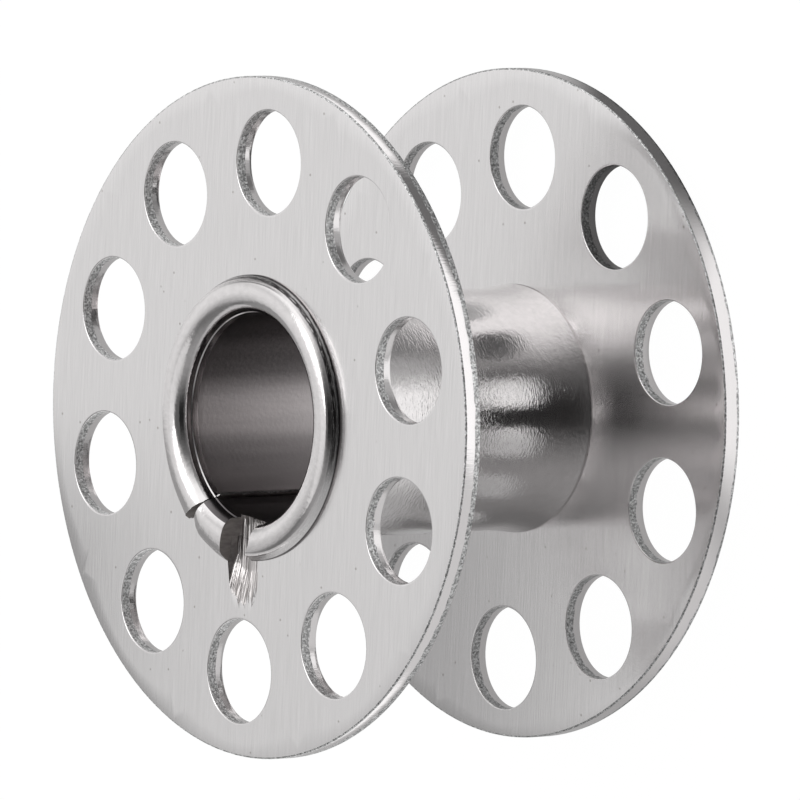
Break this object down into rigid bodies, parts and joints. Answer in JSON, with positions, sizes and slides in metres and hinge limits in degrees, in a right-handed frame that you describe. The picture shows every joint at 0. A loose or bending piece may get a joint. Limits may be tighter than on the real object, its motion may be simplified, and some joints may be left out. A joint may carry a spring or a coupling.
{
  "type": "sewing machine bobbin",
  "caption": "Plated steel thread bobbin: two flat flanges with a ring of round holes, on a rolled barrel with flared lips and a through bore.",
  "frame": {"origin": "middle of the lower lip's crest, on the bore's axis, in the plane that the bobbin stands on", "axes": "+Z along the bore's axis, towards the flange with the chisel mark; +X to the right of the seam and chisel mark, which lie on the -Y side"},
  "size_m": [0.0205, 0.0204, 0.0114],
  "materials": {
    "flange_steel": "bright nickel plate over fine brushed sheet steel",
    "barrel_steel": "bright nickel plate over rolled strip steel"
  },
  "bodies": {
    "root": {"upper_flange": "flange_steel", "lower_flange": "flange_steel", "barrel": "barrel_steel"}
  },
  "joints": []
}
